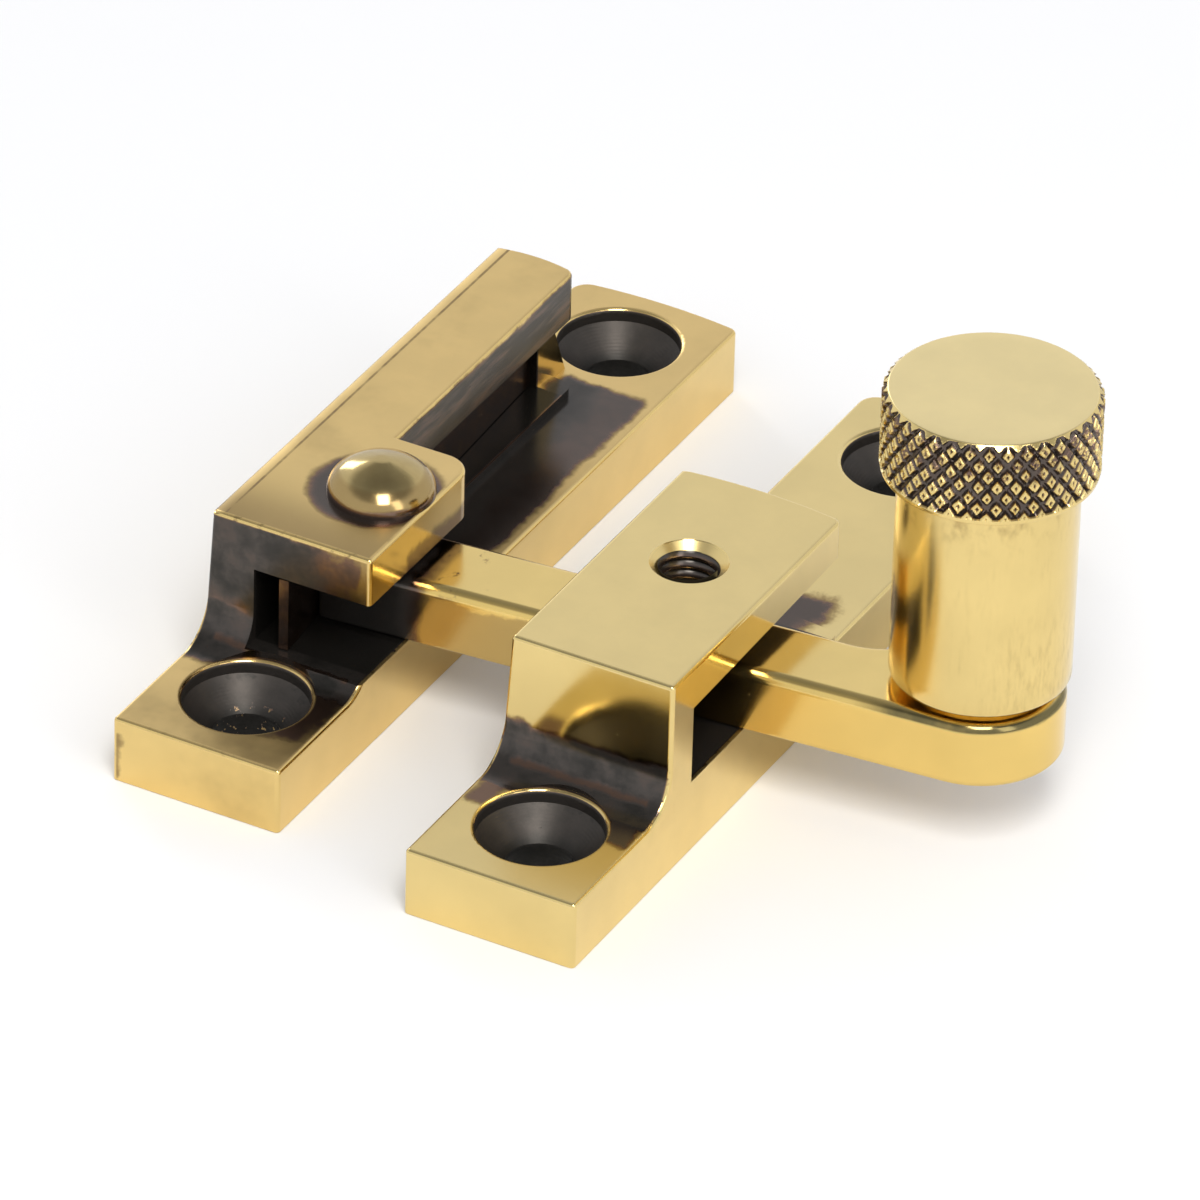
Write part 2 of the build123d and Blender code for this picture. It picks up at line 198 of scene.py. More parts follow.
class Graph:
    """A material whose nodes are written as expressions. Values are sockets, numbers or tuples."""

    def __init__(self, name):
        self.material = bpy.data.materials.new(name)
        self.material.use_nodes = True
        self.tree = self.material.node_tree
        self.tree.nodes.clear()
        self.texture = self.tree.nodes.new("ShaderNodeTexCoord")

    def put(self, value, socket):
        if isinstance(value, bpy.types.NodeSocket):
            self.tree.links.new(value, socket)
        else:
            socket.default_value = value

    def math(self, operation, *values):
        node = self.tree.nodes.new("ShaderNodeMath")
        node.operation = operation
        for value, socket in zip(values, node.inputs):
            self.put(value, socket)
        return node.outputs[0]

    def product(self, *values):
        result = values[0]
        for value in values[1:]:
            result = self.math("MULTIPLY", result, value)
        return result

    def vector(self, operation, *values):
        node = self.tree.nodes.new("ShaderNodeVectorMath")
        node.operation = operation
        sockets = [socket for socket in node.inputs if socket.enabled]
        for value, socket in zip(values, sockets):
            self.put(value, socket)
        return node.outputs["Value" if operation == "LENGTH" else "Vector"]

    def split(self, value):
        node = self.tree.nodes.new("ShaderNodeSeparateXYZ")
        self.put(value, node.inputs[0])
        return node.outputs

    def joined(self, x, y, z):
        node = self.tree.nodes.new("ShaderNodeCombineXYZ")
        for value, socket in zip((x, y, z), node.inputs):
            self.put(value, socket)
        return node.outputs[0]

    def smooth(self, value, start, end):
        """0 before start, 1 after end, with a soft step between. Start may be after end."""
        node = self.tree.nodes.new("ShaderNodeMapRange")
        node.interpolation_type = "SMOOTHSTEP"
        low, high = min(start, end), max(start, end)
        self.put(value, node.inputs["Value"])
        node.inputs["From Min"].default_value = low
        node.inputs["From Max"].default_value = high
        node.inputs["To Min"].default_value = 0.0 if start <= end else 1.0
        node.inputs["To Max"].default_value = 1.0 if start <= end else 0.0
        return node.outputs["Result"]

    def scaled(self, value, low, high):
        """Turns 0 to 1 into low to high."""
        return self.math("MULTIPLY_ADD", value, high - low, low)

    def noise(self, place, scale, detail, roughness=0.55):
        node = self.tree.nodes.new("ShaderNodeTexNoise")
        self.put(place, node.inputs["Vector"])
        node.inputs["Scale"].default_value = scale
        node.inputs["Detail"].default_value = detail
        node.inputs["Roughness"].default_value = roughness
        return node.outputs

    def ramp(self, value, stops):
        """Colour ramp over (position, colour) stops."""
        node = self.tree.nodes.new("ShaderNodeValToRGB")
        self.put(value, node.inputs["Fac"])
        set_stops(node, stops)
        return node.outputs["Color"]

    def mix(self, share, first, second):
        node = self.tree.nodes.new("ShaderNodeMix")
        node.data_type = "RGBA"
        self.put(share, node.inputs["Factor"])
        for value, name in ((first, "A"), (second, "B")):
            socket = next(s for s in node.inputs if s.name == name and s.type == "RGBA")
            self.put((*value, 1) if isinstance(value, tuple) else value, socket)
        return next(s for s in node.outputs if s.type == "RGBA")

    def attribute(self, name):
        node = self.tree.nodes.new("ShaderNodeAttribute")
        node.attribute_name = name
        return node.outputs["Fac"]

    def most(self, *values):
        result = values[0]
        for value in values[1:]:
            result = self.math("MAXIMUM", result, value)
        return result

    def place(self):
        """Position in millimetres of the part's frame. It stays on the piece when the piece moves."""
        return self.vector("MULTIPLY", self.texture.outputs["Object"], (1 / MM,) * 3)

    def box(self, place, low, high, soft):
        """1 in a box, falling to 0 over a soft distance round it."""
        centre = tuple((low[i] + high[i]) / 2 for i in range(3))
        half = tuple((high[i] - low[i]) / 2 for i in range(3))
        away = self.vector("ABSOLUTE", self.vector("SUBTRACT", place, centre))
        outside = self.vector("MAXIMUM", self.vector("SUBTRACT", away, half), (0, 0, 0))
        return self.smooth(self.vector("LENGTH", outside), soft, 0)

    def patch(self, place, low, high, soft, level):
        """Patina of some level in a box, falling to 0 over a soft distance round it."""
        return self.math("MULTIPLY", self.box(place, low, high, soft), level)

    def from_axis(self, place, x, y):
        """Distance from an upright axis."""
        flat = self.vector("MULTIPLY", self.vector("SUBTRACT", place, (x, y, 0)), (1, 1, 0))
        return self.vector("LENGTH", flat)

    def column(self, place, x, y, inner, outer):
        """1 within an upright cylinder, falling to 0 between two radii."""
        return self.smooth(self.from_axis(place, x, y), outer, inner)

    def ragged(self, place, coarse, fine):
        """Place moved about by a coarse and a fine noise, so that a field's outline is uneven."""
        for amount, scale in ((coarse, 0.3), (fine, 1.6)):
            noise = self.noise(place, scale, 4, 0.6)["Color"]
            shift = self.vector("SUBTRACT", noise, (0.5, 0.5, 0.5))
            place = self.vector("ADD", place, self.vector("MULTIPLY", shift, (2 * amount,) * 3))
        return place

    def edge_distance(self, place, low, high):
        """Distance along a box's surface from its nearest edge. The underside has no edge."""
        x, y, z = self.split(place)
        across = self.math("MINIMUM", self.math("SUBTRACT", x, low[0]), self.math("SUBTRACT", high[0], x))
        along = self.math("MINIMUM", self.math("SUBTRACT", y, low[1]), self.math("SUBTRACT", high[1], y))
        below = self.math("SUBTRACT", high[2], z)
        smaller = self.math("MINIMUM", across, along)
        larger = self.math("MAXIMUM", across, along)
        return self.math("MAXIMUM", smaller, self.math("MINIMUM", larger, below))

    def finish(self, colour, metallic, roughness, height, bump_mm):
        """Principled surface with a bump whose height of 1 stands bump_mm proud."""
        shader = self.tree.nodes.new("ShaderNodeBsdfPrincipled")
        bump = self.tree.nodes.new("ShaderNodeBump")
        output = self.tree.nodes.new("ShaderNodeOutputMaterial")
        bump.inputs["Strength"].default_value = 1.0
        bump.inputs["Distance"].default_value = bump_mm * MM
        self.put(height, bump.inputs["Height"])
        self.put(colour, shader.inputs["Base Color"])
        self.put(roughness, shader.inputs["Roughness"])
        self.put(metallic, shader.inputs["Metallic"])
        self.put(bump.outputs["Normal"], shader.inputs["Normal"])
        self.tree.links.new(shader.outputs["BSDF"], output.inputs["Surface"])
        return self.material


# Tarnish on brass from a thin brown film through purple to near black.
TARNISH = [
    (0.00, (0.52, 0.37, 0.15)),
    (0.30, (0.37, 0.255, 0.11)),
    (0.42, (0.215, 0.135, 0.098)),
    (0.55, (0.130, 0.096, 0.082)),
    (0.70, (0.080, 0.069, 0.062)),
    (0.85, (0.042, 0.038, 0.034)),
    (1.00, (0.014, 0.013, 0.011)),
]


def brass_surface(graph, place, brass, patina, roughness, edge=10.0, lit_top_brass=None, dull=0.0, relief=0.0):
    """Polished brass that darkens to near black where patina rises from 0 to 1.

    roughness is for tops and for sides. edge is the distance from the nearest worn edge in
    millimetres, where the metal stays bright. dull adds roughness and relief adds height.
    Faces that look up take a lighter brass colour: painted light on the tops. Some callers
    also put painted shade into patina, and lift patina for painted highlights.
    """
    top_roughness, side_roughness = roughness
    clouds = graph.noise(place, 0.16, 4)["Fac"]
    fine = graph.noise(place, 1.7, 5, 0.65)["Fac"]
    worn = graph.math("MULTIPLY", graph.smooth(edge, 0.38, 0.18), graph.smooth(fine, 0.3, 0.5))
    patina = graph.math("MULTIPLY", patina, graph.math("SUBTRACT", 1.0, worn))

    up = graph.split(graph.texture.outputs["Normal"])[2]
    facing_up = graph.smooth(up, 0.75, 0.97)
    # Faces that look up take the lighter top colour: painted light on the tops.
    clean = graph.mix(facing_up, brass, lit_top_brass or brass)
    colour = graph.mix(graph.smooth(patina, 0.0, 0.3), clean, graph.ramp(patina, TARNISH))
    tint = graph.scaled(graph.smooth(clouds, 0.3, 0.75), 0.93, 1.02)
    colour = graph.vector("MULTIPLY", colour, graph.joined(tint, tint, graph.math("MULTIPLY", tint, 0.97)))

    brushed = graph.vector("MULTIPLY", place, (0.6, 0.09, 0.6))
    lines = graph.noise(brushed, 22.0, 3, 0.6)["Fac"]
    rough = graph.scaled(facing_up, side_roughness, top_roughness)
    film = graph.smooth(patina, 0.3, 0.6)
    rough = graph.math("MULTIPLY_ADD", graph.math("SUBTRACT", 0.2, rough), film, rough)
    rough = graph.math("ADD", rough, graph.scaled(graph.smooth(clouds, 0.3, 0.7), -0.012, 0.02))
    rough = graph.math("ADD", rough, graph.scaled(lines, -0.03, 0.03))
    rough = graph.math("ADD", rough, dull)

    waves = graph.noise(place, 0.09, 2, 0.4)["Fac"]
    pits = graph.smooth(graph.noise(place, 2.6, 2, 0.5)["Fac"], 0.25, 0.19)
    height = graph.math("MULTIPLY", waves, 6.0)
    height = graph.math("ADD", height, graph.math("MULTIPLY", lines, 0.05))
    height = graph.math("SUBTRACT", height, graph.math("MULTIPLY", pits, 0.5))
    height = graph.math("ADD", height, relief)
    metallic = graph.scaled(graph.smooth(patina, 0.4, 0.9), 1.0, 0.7)
    return graph.finish(colour, metallic, rough, height, 0.02)


# ---- castings -------------------------------------------------------------------------

def screw_places(mount_name):
    """(x, y) of a fixing pattern's two holes."""
    mount = mounts[mount_name]
    x, y = in_mm(mount["pos_m"])[:2]
    half_pitch = mount["dims"]["spacing_y_mm"] / 2
    return [(x, y - half_pitch), (x, y + half_pitch)]


def seat_fields(graph, place, x, y, plate_z):
    """(patina, bright rim, turning marks) of one fixing hole."""
    radius = graph.from_axis(place, x, y)
    z = graph.split(place)[2]
    depth = graph.math("SUBTRACT", plate_z, z)
    inside = graph.smooth(radius, seat_radius + 0.10, seat_radius + 0.03)
    level = graph.scaled(graph.smooth(depth, 2.2, 3.4), 0.76, 0.97)
    blotch = graph.scaled(graph.noise(place, 0.8, 4, 0.6)["Fac"], -0.1, 0.1)
    patina = graph.math("MULTIPLY", graph.math("ADD", level, blotch), inside)
    rim = graph.math(
        "MULTIPLY", graph.smooth(radius, seat_radius - 0.05, seat_radius + 0.05),
        graph.smooth(radius, seat_radius + 0.4, seat_radius + 0.2),
    )
    uneven = graph.noise(place, 0.7, 3, 0.6)["Fac"]
    turning = graph.math("SINE", graph.math("MULTIPLY", graph.math("ADD", radius, z), 17.0))
    turning = graph.math("MULTIPLY", turning, graph.smooth(uneven, 0.35, 0.65))
    marks = graph.math("MULTIPLY", graph.math("MULTIPLY", turning, inside), graph.smooth(depth, 0.2, 0.5))
    return patina, rim, marks


def add_seats(graph, place, patina, mount_name, plate_z):
    """(patina, marks, insides) with a casting's two fixing holes added to its patina."""
    marks, insides = 0.0, 0.0
    for x, y in screw_places(mount_name):
        seat, rim, turned = seat_fields(graph, place, x, y, plate_z)
        patina = graph.math("MULTIPLY", patina, graph.math("MULTIPLY_ADD", rim, -0.8, 1.0))
        patina = graph.most(patina, seat)
        marks = graph.math("ADD", marks, turned)
        insides = graph.math("MAXIMUM", insides, graph.smooth(seat, 0.2, 0.5))
    return patina, marks, insides


def wiped_sides(graph, place, low_x, high_x, patina):
    """Patina rubbed off a casting's outer faces."""
    x = graph.split(place)[0]
    facing_left = graph.math("MULTIPLY", graph.split(graph.texture.outputs["Normal"])[0], -1.0)
    right = graph.smooth(x, high_x - 0.2, high_x - 0.05)
    left = graph.product(graph.smooth(facing_left, 0.8, 0.95), graph.smooth(x, low_x + 1.2, low_x + 0.9))
    wiped = graph.math("MULTIPLY", graph.most(right, left), 0.92)
    return graph.math("MULTIPLY", patina, graph.math("SUBTRACT", 1.0, wiped))


def casting_edge(graph, place, plate_low, plate_high, block_low, block_high):
    """Distance from the nearest worn edge of a plate with a block on it."""
    block_edge = graph.edge_distance(place, block_low, block_high)
    plate_edge = graph.edge_distance(place, plate_low, plate_high)
    on_block = graph.smooth(graph.split(place)[2], plate_high[2] + 1, plate_high[2] + 1.4)
    on_plate = graph.math("SUBTRACT", 1.0, on_block)
    return graph.math(
        "ADD", graph.math("MULTIPLY", block_edge, on_block), graph.math("MULTIPLY", plate_edge, on_plate)
    )


def cove_with_highlight(graph, place, cove, face_y, plate_z, low_x, high_x):
    """Cove patina lifted in a soft band along the fold: a painted highlight on the fold."""
    highlight_band = graph.patch(
        graph.ragged(place, 0.4, 0.18), (low_x + 1.5, face_y - 1.15, plate_z - 1),
        (high_x - 1.2, face_y - 1.05, plate_z + 2), 0.3, 0.42,
    )
    return graph.math("MULTIPLY", cove, graph.math("SUBTRACT", 1.0, highlight_band))


def make_base_brass():
    graph = Graph("base_brass_aged")
    place = graph.place()
    x, y, z = graph.split(place)
    loose = graph.ragged(place, 0.9, 0.25)
    looser = graph.ragged(place, 1.8, 0.35)
    mottle = graph.smooth(graph.noise(place, 0.5, 5, 0.62)["Fac"], 0.3, 0.7)
    left_x, right_x, top_z = base_low[0], base_high[0], base_high[2]
    front_y, face_y, roof_y, bar_y = base_low[1], base_block_y, base_roof_end_y, base_bar_end_y

    slot = graph.patch(
        place, (slot_left_x - 0.1, face_y + 0.35, slot_floor_z - 0.05),
        (right_x + 1, bar_y - 2.0, slot_roof_z + 0.05), 0.15, 0.93,
    )
    face = graph.box(
        loose, (left_x - 2, face_y - 0.6, base_plate_z + 1), (right_x - 0.9, face_y + 0.6, top_z - 0.5), 0.9
    )
    grey_to_brown = graph.scaled(graph.smooth(graph.split(loose)[0], 0.5, 4.0), 0.74, 0.39)
    face_level = graph.math("ADD", grey_to_brown, graph.scaled(mottle, 0.13, -0.10))
    low_left = graph.product(graph.smooth(z, 9.4, 7.6), graph.smooth(x, slot_left_x, slot_left_x - 0.8))
    face_level = graph.math("SUBTRACT", face_level, graph.math("MULTIPLY", low_left, 0.26))
    face = graph.math("MULTIPLY", face, graph.smooth(z, top_z - 0.15, top_z - 0.3))
    face = graph.math("MULTIPLY", face, face_level)
    cove = graph.box(
        loose, (left_x + 0.3, face_y - cove_radius + 0.5, base_plate_z - 1),
        (right_x - 0.2, face_y + 0.5, base_plate_z + 2.4), 1.3,
    )
    cove = graph.math("MULTIPLY", cove, graph.scaled(mottle, 0.90, 0.64))
    # The base's cove gets a painted highlight band along its fold.
    cove = cove_with_highlight(graph, place, cove, face_y, base_plate_z, left_x, right_x)
    beside_seat = graph.patch(
        looser, (3.6, face_y - 8.0, base_plate_z - 1),
        (right_x - 1.0, face_y - 2, base_plate_z + 1), 1.8, 0.42,
    )
    streaks = graph.noise(graph.vector("MULTIPLY", place, (1, 0.12, 1)), 1.3, 4, 0.6)["Fac"]
    bar_side = graph.box(
        graph.ragged(place, 0.3, 0.12), (base_bar_x - 0.3, roof_y - 0.5, slot_roof_z - 1),
        (base_bar_x + 0.3, bar_y - 0.8, top_z - 0.45), 0.45,
    )
    bar_side = graph.math("MULTIPLY", bar_side, graph.scaled(graph.smooth(streaks, 0.4, 0.65), 0.84, 0.52))
    roof_back = graph.patch(
        place, (base_bar_x, roof_y - 0.2, slot_roof_z - 1), (right_x, roof_y + 0.3, top_z - 1.4), 0.8, 0.7
    )
    table = graph.box(
        graph.ragged(place, 0.8, 0.15), (base_bar_x - 1, roof_y - 20, base_plate_z - 1),
        (right_x - 1.5, bar_y + 0.7, base_plate_z + 1.0), 1.1,
    )
    behind_block = graph.smooth(graph.split(loose)[1], face_y + 1, face_y + 3)
    table_level = graph.scaled(graph.smooth(graph.split(looser)[0], 1.0, 3.6), 0.80, 0.60)
    table_level = graph.math("ADD", table_level, graph.scaled(mottle, -0.04, 0.04))
    table = graph.product(table, behind_block, table_level)
    # Patina lifted along the edge of the slot floor's step: wear on the edge together with a painted highlight
    # where the edge catches the light.
    lip_wear_and_highlight = graph.box(
        graph.ragged(place, 0.0, 0.08), (base_bar_x - 0.06, roof_y + 1.0, slot_floor_z - 0.06),
        (base_bar_x + 0.05, bar_y - 2.0, slot_floor_z + 0.05), 0.12,
    )
    on_top = graph.smooth(z, top_z - 0.3, top_z - 0.05)
    # Patina ring round the rivet's foot, its centre set off to the left and front, where it also paints a shadow
    # crescent beside the rivet.
    ring = graph.column(graph.ragged(place, 0.5, 0.15), pivot[0] - 0.35, pivot[1] - 0.2, 3.9, 5.3)
    ring = graph.product(ring, on_top, 0.66)
    corner = graph.patch(
        loose, (left_x - 1, front_y - 0.5, 0.5), (left_x + 0.2, front_y + 0.3, 3.4), 0.7, 0.32
    )
    crease_x = left_x + 1.5
    crease = graph.smooth(graph.math("ABSOLUTE", graph.math("SUBTRACT", x, crease_x)), 0.16, 0.04)
    crease = graph.product(crease, on_top, graph.scaled(mottle, 0.15, 0.36))
    roof_front = graph.math("MULTIPLY", graph.smooth(y, face_y + 9.0, face_y), 0.25)
    roof_front = graph.math("MULTIPLY", roof_front, graph.smooth(z, base_plate_z + 3, base_plate_z + 5))
    warm = graph.math("MULTIPLY", graph.smooth(graph.noise(place, 0.12, 4, 0.6)["Fac"], 0.42, 0.72), 0.12)
    plate_top = graph.smooth(z, base_plate_z - 0.3, base_plate_z - 0.05)
    handled = graph.math("MULTIPLY", graph.smooth(y, face_y + 2, front_y + 2), 0.10)
    warm = graph.math("ADD", warm, graph.math("MULTIPLY", handled, plate_top))
    patina = graph.most(
        slot, face, cove, beside_seat, bar_side, roof_back, table, ring, corner, crease, roof_front, warm
    )
    # The step's edge is kept light: wear and a painted highlight.
    patina = graph.math("MULTIPLY", patina, graph.math("MULTIPLY_ADD", lip_wear_and_highlight, -0.5, 1.0))
    patina = wiped_sides(graph, place, left_x, right_x, patina)
    roof_side = graph.patch(
        loose, (right_x - 0.5, face_y + 5.5, slot_roof_z - 1),
        (right_x + 0.5, roof_y - 1.5, slot_roof_z + 0.8), 1.0, 0.36,
    )
    patina = graph.most(patina, roof_side)
    patina, marks, insides = add_seats(graph, place, patina, "base_screw_holes", base_plate_z)
    flecks = graph.smooth(graph.noise(place, 1.6, 3, 0.6)["Fac"], 0.60, 0.66)
    deep = graph.smooth(z, base_plate_z - 2.2, base_plate_z - 2.8)
    flecks = graph.product(flecks, deep, graph.smooth(y, 0, -1), insides)
    patina = graph.math("MULTIPLY", patina, graph.math("MULTIPLY_ADD", flecks, -0.75, 1.0))
    edge = casting_edge(
        graph, place, (left_x, front_y, 0), (right_x, base_high[1], base_plate_z),
        (left_x, face_y, 0), (right_x, 100, top_z),
    )
    # The roof's left edge falls away a little outside the crease.
    fall = graph.product(graph.math("MAXIMUM", graph.math("SUBTRACT", crease_x, x), 0.0), on_top)
    fall = graph.product(fall, fall, -12.0)
    relief = graph.math("ADD", graph.math("MULTIPLY", marks, 0.16), fall)
    # The roof and plate tops get a slightly lighter brass: painted light on the tops.
    return brass_surface(
        graph, place, (0.80, 0.585, 0.235), patina, (0.38, 0.15), edge,
        lit_top_brass=(0.82, 0.59, 0.25), dull=graph.math("MULTIPLY", insides, 0.26), relief=relief,
    )


def make_keep_brass():
    graph = Graph("keep_brass_polished")
    place = graph.place()
    z = graph.split(place)[2]
    loose = graph.ragged(place, 0.8, 0.25)
    looser = graph.ragged(place, 1.6, 0.35)
    mottle = graph.smooth(graph.noise(place, 0.5, 5, 0.62)["Fac"], 0.3, 0.7)
    low_x, high_x = keep_low[0], keep_high[0]

    slot = graph.patch(
        place, (low_x - 1, keep_slot_y - 0.05, slot_floor_z - 0.05),
        (high_x + 1, keep_roof_end_y - 1.5, keep_slot_top_z), 0.12, 0.70,
    )
    cove = graph.box(
        loose, (low_x + 0.2, keep_post_y - cove_radius + 0.1, keep_plate_z - 1),
        (high_x - 0.3, keep_post_y + 0.5, keep_plate_z + 2.6), 1.0,
    )
    cove = graph.math("MULTIPLY", cove, graph.scaled(mottle, 0.88, 0.64))
    # The keep's cove gets a painted highlight band along its fold.
    cove = cove_with_highlight(graph, place, cove, keep_post_y, keep_plate_z, low_x, high_x)
    beside_right = graph.patch(
        loose, (high_x - 2.4, keep_post_y - 5.2, keep_plate_z - 1),
        (high_x - 0.8, keep_post_y - 2, keep_plate_z + 1), 0.9, 0.66,
    )
    beside_left = graph.patch(
        loose, (low_x + 0.8, keep_post_y - 5.4, keep_plate_z - 1),
        (low_x + 1.7, keep_post_y - 3, keep_plate_z + 1), 1.0, 0.42,
    )
    behind = graph.patch(
        looser, (low_x + 3.0, keep_roof_end_y - 4.0, keep_plate_z - 1),
        (high_x - 2.9, keep_roof_end_y + 2.6, keep_plate_z + 0.8), 1.9, 0.62,
    )
    wall = graph.column(place, lock_place[0], lock_place[1], lock_radius + 0.02, lock_radius + 0.1)
    hole = graph.math("MULTIPLY", wall, graph.smooth(z, keep_high[2] - 0.5, keep_high[2] - 0.8))
    hole = graph.math("MULTIPLY", hole, 0.8)
    patina = wiped_sides(
        graph, place, low_x, high_x, graph.most(slot, cove, beside_right, beside_left, behind)
    )
    patina, marks, insides = add_seats(graph, place, patina, "keep_screw_holes", keep_plate_z)
    patina = graph.most(patina, hole)
    edge = casting_edge(
        graph, place, (low_x, keep_low[1], 0), (high_x, keep_high[1], keep_plate_z),
        (low_x, keep_post_y, 0), (high_x, keep_roof_end_y, keep_high[2]),
    )
    chamfer = graph.column(place, lock_place[0], lock_place[1], lock_radius + 0.5, lock_radius + 0.62)
    chamfer = graph.math("MULTIPLY", chamfer, graph.smooth(z, keep_high[2] - 0.01, keep_high[2] - 0.05))
    dull = graph.math("ADD", graph.math("MULTIPLY", insides, 0.26), graph.math("MULTIPLY", chamfer, 0.18))
    # The tops get a paler brass: painted light on the tops.
    return brass_surface(
        graph, place, (0.79, 0.61, 0.265), patina, (0.34, 0.11), edge,
        lit_top_brass=(0.88, 0.69, 0.32), dull=dull, relief=graph.math("MULTIPLY", marks, 0.16),
    )


# ---- arm, knob and small parts --------------------------------------------------------

def arm_place(graph):
    """Position in millimetres with +X along the arm from the pivot."""
    node = graph.tree.nodes.new("ShaderNodeVectorRotate")
    node.rotation_type = "Z_AXIS"
    node.inputs["Angle"].default_value = -arm_rest_angle
    graph.put(graph.vector("SUBTRACT", graph.place(), (pivot[0], pivot[1], 0)), node.inputs["Vector"])
    return node.outputs["Vector"]


def under_knob(graph, place):
    """Darkening on the arm's rounded top edge beneath the knob's overhang: a tarnish film with painted shade and a
    painted reflection of the knob's dark underside, lifted at one painted highlight spot.
    """
    x = graph.split(place)[0]
    up = graph.split(graph.texture.outputs["Normal"])[2]
    rounded = graph.product(graph.smooth(up, 0.12, 0.35), graph.smooth(up, 0.985, 0.90))
    dark = graph.product(graph.smooth(x, knob_reach - 7.5, knob_reach - 3.5), rounded)
    # A painted highlight spot where the darkening is lifted.
    highlight_spot = graph.column(place, knob_reach + 1.6, -5.4, 0.7, 1.5)
    level = graph.smooth(graph.noise(place, 0.35, 3, 0.6)["Fac"], 0.25, 0.6)
    return graph.product(dark, graph.scaled(highlight_spot, 1.0, 0.2), graph.scaled(level, 0.65, 1.0))


def make_arm_brass():
    graph = Graph("arm_brass_polished")
    place = arm_place(graph)
    uneven = graph.split(graph.ragged(place, 1.2, 0.3))
    x, z = uneven[0], uneven[2]
    inner = graph.math("MULTIPLY", graph.smooth(x, 5.5, 2.5), 0.85)
    grime = graph.smooth(graph.noise(place, 0.9, 5, 0.65)["Fac"], 0.55, 0.75)
    near_base = graph.product(graph.smooth(x, 11.0, 4.0), grime, 0.55)
    cloud = graph.scaled(graph.noise(place, 0.6, 5, 0.62)["Fac"], 0.05, 0.27)
    on_side = graph.smooth(z, arm_high[2] - 0.5, arm_high[2] - 1.0)
    front = graph.product(graph.smooth(x, 20.0, 13.0), cloud, on_side)
    level_z = graph.split(place)[2]
    below = graph.math("MULTIPLY", graph.smooth(level_z, arm_low[2] + 0.6, arm_low[2] + 0.1), 0.12)
    film = graph.product(graph.smooth(x, 38.0, 24.0), 0.20, on_side)
    patina = graph.most(inner, near_base, front, below, film)
    # Near the knob the arm is mixed towards dark olive: tarnish with painted shade and painted reflection, and a
    # painted highlight spot.
    film_and_shade_under_knob = under_knob(graph, graph.ragged(place, 0.5, 0.15))
    brass = graph.mix(film_and_shade_under_knob, (0.83, 0.595, 0.20), (0.19, 0.155, 0.07))
    # The arm's top gets a slightly lighter brass: painted light on the top.
    return brass_surface(graph, place, brass, patina, (0.16, 0.15), lit_top_brass=(0.84, 0.62, 0.24))


def make_knob_brass():
    graph = Graph("knob_brass_turned")
    place = graph.vector("SUBTRACT", graph.place(), (knob_x, knob_y, 0))
    x, y, z = graph.split(place)
    around = graph.math("ARCTAN2", y, x)
    drawn_out = graph.math("MULTIPLY", z, 0.035)
    wrapped = graph.joined(graph.math("COSINE", around), graph.math("SINE", around), drawn_out)
    streaks = graph.smooth(graph.noise(wrapped, 13.0, 5, 0.65)["Fac"], 0.45, 0.75)
    on_shaft = graph.smooth(z, knob_head_z + 0.15, knob_head_z - 0.1)
    stretched = graph.vector("MULTIPLY", place, (1, 1, 0.6))
    stains = graph.smooth(graph.noise(stretched, 0.9, 3, 0.6)["Fac"], 0.35, 0.75)
    stains = graph.math("MULTIPLY", stains, graph.smooth(z, knob_head_z - 5.0, knob_head_z - 0.4))
    shaft = graph.most(graph.math("MULTIPLY", streaks, 0.09), graph.math("MULTIPLY", stains, 0.20))
    low_on_shaft = graph.smooth(z, knob_head_z - 4.0, knob_head_z - 13.0)
    streaked = graph.vector("MULTIPLY", place, (1, 1, 0.3))
    speckle = graph.smooth(graph.noise(streaked, 2.4, 3, 0.6)["Fac"], 0.30, 0.75)
    speckle = graph.product(speckle, graph.smooth(x, 1.0, 5.0), low_on_shaft, 0.13)
    shaft = graph.math("MULTIPLY", graph.most(shaft, speckle), on_shaft)
    groove = graph.attribute("groove")
    blotch = graph.smooth(graph.noise(place, 1.5, 4, 0.65)["Fac"], 0.45, 0.62)
    upper = graph.smooth(z, knob_high[2] - 3.6, knob_high[2] - 2.2)
    on_knurl = graph.smooth(groove, 0.02, 0.12)
    worn_rows = graph.product(blotch, upper, on_knurl, 0.5)
    dirt = graph.scaled(graph.noise(place, 2.2, 4, 0.6)["Fac"], 0.46, 0.80)
    groove = graph.math("MULTIPLY", graph.smooth(groove, 0.15, 0.75), dirt)
    patina = graph.most(shaft, groove, worn_rows)
    # The knob's top face gets a much paler brass: painted light on its top.
    return brass_surface(
        graph, place, (0.80, 0.615, 0.26), patina, (0.36, 0.19), lit_top_brass=(0.97, 0.79, 0.41)
    )


def make_rivet_brass():
    """Polished dome with tarnish left round its foot and painted shade on its flanks."""
    graph = Graph("rivet_brass_polished")
    place = graph.place()
    z = graph.split(graph.ragged(place, 0.25, 0.08))[2]
    foot = graph.math("MULTIPLY", graph.smooth(z, base_high[2] + 1.1, base_high[2] + 0.15), 0.55)
    cloud = graph.scaled(graph.noise(place, 0.5, 4, 0.6)["Fac"], 0.06, 0.26)
    up = graph.split(graph.texture.outputs["Normal"])[2]
    # Faces tilted away from up are darkened: painted shade standing in for darker reflections, varied by the
    # cloudy tarnish.
    flank = graph.math("MULTIPLY", graph.smooth(up, 0.93, 0.75), graph.scaled(cloud, 0.22, 0.42))
    return brass_surface(graph, place, (0.60, 0.475, 0.225), graph.most(foot, cloud, flank), (0.15, 0.15))


